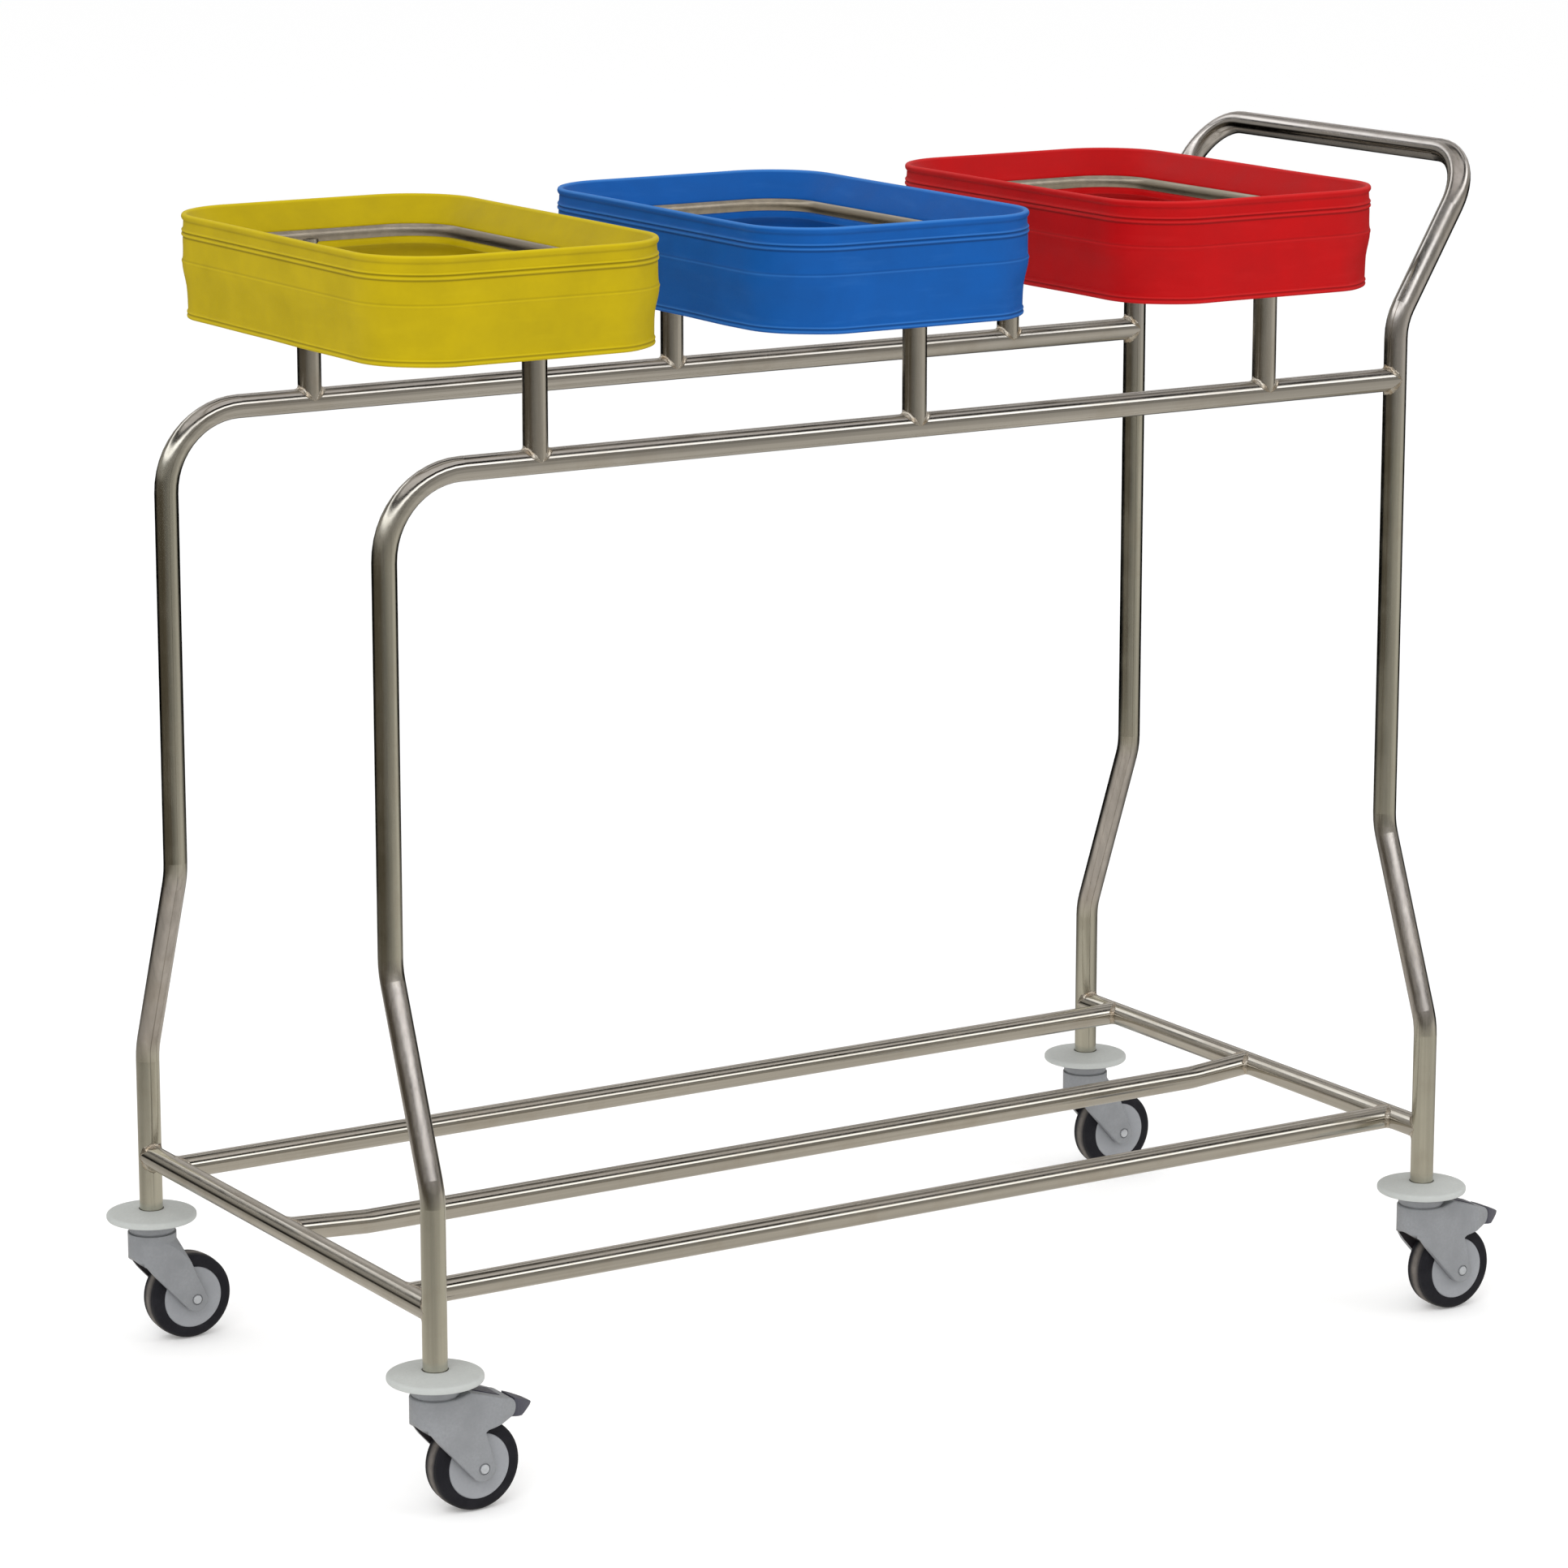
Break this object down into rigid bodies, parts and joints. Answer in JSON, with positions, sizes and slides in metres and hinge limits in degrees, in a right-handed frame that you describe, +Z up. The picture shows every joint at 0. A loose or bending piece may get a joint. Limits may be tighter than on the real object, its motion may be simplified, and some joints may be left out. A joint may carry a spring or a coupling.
{
  "type": "laundry sorting trolley",
  "caption": "Laundry sorting trolley: bent steel tube frame with a row of rubber-rimmed bag hoops, a push handle, swivel casters and foot brakes.",
  "frame": {"origin": "on the floor, under the centre of the overall box", "axes": "+X from the front legs towards the push handle, +Y towards the side without brakes, +Z up"},
  "size_m": [1.1826, 0.6284, 1.0824],
  "materials": {
    "frame_steel": "satin stainless steel tube, ground welds",
    "hoop_steel": "satin stainless steel tube",
    "rubber_yellow": "matte moulded rubber",
    "rubber_blue": "matte moulded rubber",
    "rubber_red": "matte moulded rubber",
    "bumper_grey": "light grey moulded plastic",
    "fork_grey": "blue-grey moulded nylon",
    "hub_grey": "blue-grey moulded nylon",
    "guard_black": "near-black moulded plastic",
    "pedal_slate": "slate-grey moulded nylon",
    "shoe_rubber": "matte rubber",
    "tyre_charcoal": "matte charcoal rubber",
    "axle_steel": "bright zinc",
    "stem_steel": "zinc",
    "bearing_steel": "ground steel"
  },
  "bodies": {
    "frame": {"side_tube_left": "frame_steel", "side_tube_right": "frame_steel", "handle_tube": "frame_steel", "base_cross_front": "frame_steel", "base_cross_rear": "frame_steel", "base_rail_left": "frame_steel", "base_rail_middle": "frame_steel", "base_rail_right": "frame_steel", "post_front_left": "frame_steel", "post_front_right": "frame_steel", "post_middle_left": "frame_steel", "post_middle_right": "frame_steel", "post_rear_left": "frame_steel", "post_rear_right": "frame_steel", "hoop_front": "hoop_steel", "hoop_middle": "hoop_steel", "hoop_rear": "hoop_steel", "rubber_ring_yellow": "rubber_yellow", "rubber_ring_blue": "rubber_blue", "rubber_ring_red": "rubber_red", "bumper_disc_front_left": "bumper_grey", "stem_front_left": "stem_steel", "bumper_disc_front_right": "bumper_grey", "stem_front_right": "stem_steel", "bumper_disc_rear_left": "bumper_grey", "stem_rear_left": "stem_steel", "bumper_disc_rear_right": "bumper_grey", "stem_rear_right": "stem_steel"},
    "swivel_front_left": {"swivel_bearing_front_left": "bearing_steel", "fork_front_left": "fork_grey", "thread_guard_front_left": "guard_black", "axle_front_left": "axle_steel"},
    "wheel_front_left": {"hub_front_left": "hub_grey", "tyre_front_left": "tyre_charcoal", "wheel_bearings_front_left": "bearing_steel"},
    "brake_front_left": {"brake_pedal_front_left": "pedal_slate", "brake_shoe_front_left": "shoe_rubber"},
    "swivel_front_right": {"swivel_bearing_front_right": "bearing_steel", "fork_front_right": "fork_grey", "thread_guard_front_right": "guard_black", "axle_front_right": "axle_steel"},
    "wheel_front_right": {"hub_front_right": "hub_grey", "tyre_front_right": "tyre_charcoal", "wheel_bearings_front_right": "bearing_steel"},
    "swivel_rear_left": {"swivel_bearing_rear_left": "bearing_steel", "fork_rear_left": "fork_grey", "thread_guard_rear_left": "guard_black", "axle_rear_left": "axle_steel"},
    "wheel_rear_left": {"hub_rear_left": "hub_grey", "tyre_rear_left": "tyre_charcoal", "wheel_bearings_rear_left": "bearing_steel"},
    "brake_rear_left": {"brake_pedal_rear_left": "pedal_slate", "brake_shoe_rear_left": "shoe_rubber"},
    "swivel_rear_right": {"swivel_bearing_rear_right": "bearing_steel", "fork_rear_right": "fork_grey", "thread_guard_rear_right": "guard_black", "axle_rear_right": "axle_steel"},
    "wheel_rear_right": {"hub_rear_right": "hub_grey", "tyre_rear_right": "tyre_charcoal", "wheel_bearings_rear_right": "bearing_steel"}
  },
  "joints": [
    {"name": "caster_swivel_front_left", "type": "hinge", "parent": "frame", "child": "swivel_front_left", "pos_m": [-0.55012, -0.273, 0.11], "axis": [0, 0, 1], "continuous": true},
    {"name": "wheel_spin_front_left", "type": "hinge", "parent": "swivel_front_left", "child": "wheel_front_left", "pos_m": [-0.51643, -0.273, 0.04], "axis": [0, 1, 0], "continuous": true},
    {"name": "brake_pedal_front_left", "type": "hinge", "parent": "swivel_front_left", "child": "brake_front_left", "pos_m": [-0.52312, -0.273, 0.0986], "axis": [0, 1, 0], "range_deg": [0, 10]},
    {"name": "caster_swivel_front_right", "type": "hinge", "parent": "frame", "child": "swivel_front_right", "pos_m": [-0.55012, 0.273, 0.11], "axis": [0, 0, 1], "continuous": true},
    {"name": "wheel_spin_front_right", "type": "hinge", "parent": "swivel_front_right", "child": "wheel_front_right", "pos_m": [-0.51643, 0.273, 0.04], "axis": [0, 1, 0], "continuous": true},
    {"name": "caster_swivel_rear_left", "type": "hinge", "parent": "frame", "child": "swivel_rear_left", "pos_m": [0.49338, -0.273, 0.11], "axis": [0, 0, 1], "continuous": true},
    {"name": "wheel_spin_rear_left", "type": "hinge", "parent": "swivel_rear_left", "child": "wheel_rear_left", "pos_m": [0.52707, -0.273, 0.04], "axis": [0, 1, 0], "continuous": true},
    {"name": "brake_pedal_rear_left", "type": "hinge", "parent": "swivel_rear_left", "child": "brake_rear_left", "pos_m": [0.52038, -0.273, 0.0986], "axis": [0, 1, 0], "range_deg": [0, 10]},
    {"name": "caster_swivel_rear_right", "type": "hinge", "parent": "frame", "child": "swivel_rear_right", "pos_m": [0.49338, 0.273, 0.11], "axis": [0, 0, 1], "continuous": true},
    {"name": "wheel_spin_rear_right", "type": "hinge", "parent": "swivel_rear_right", "child": "wheel_rear_right", "pos_m": [0.52707, 0.273, 0.04], "axis": [0, 1, 0], "continuous": true}
  ]
}
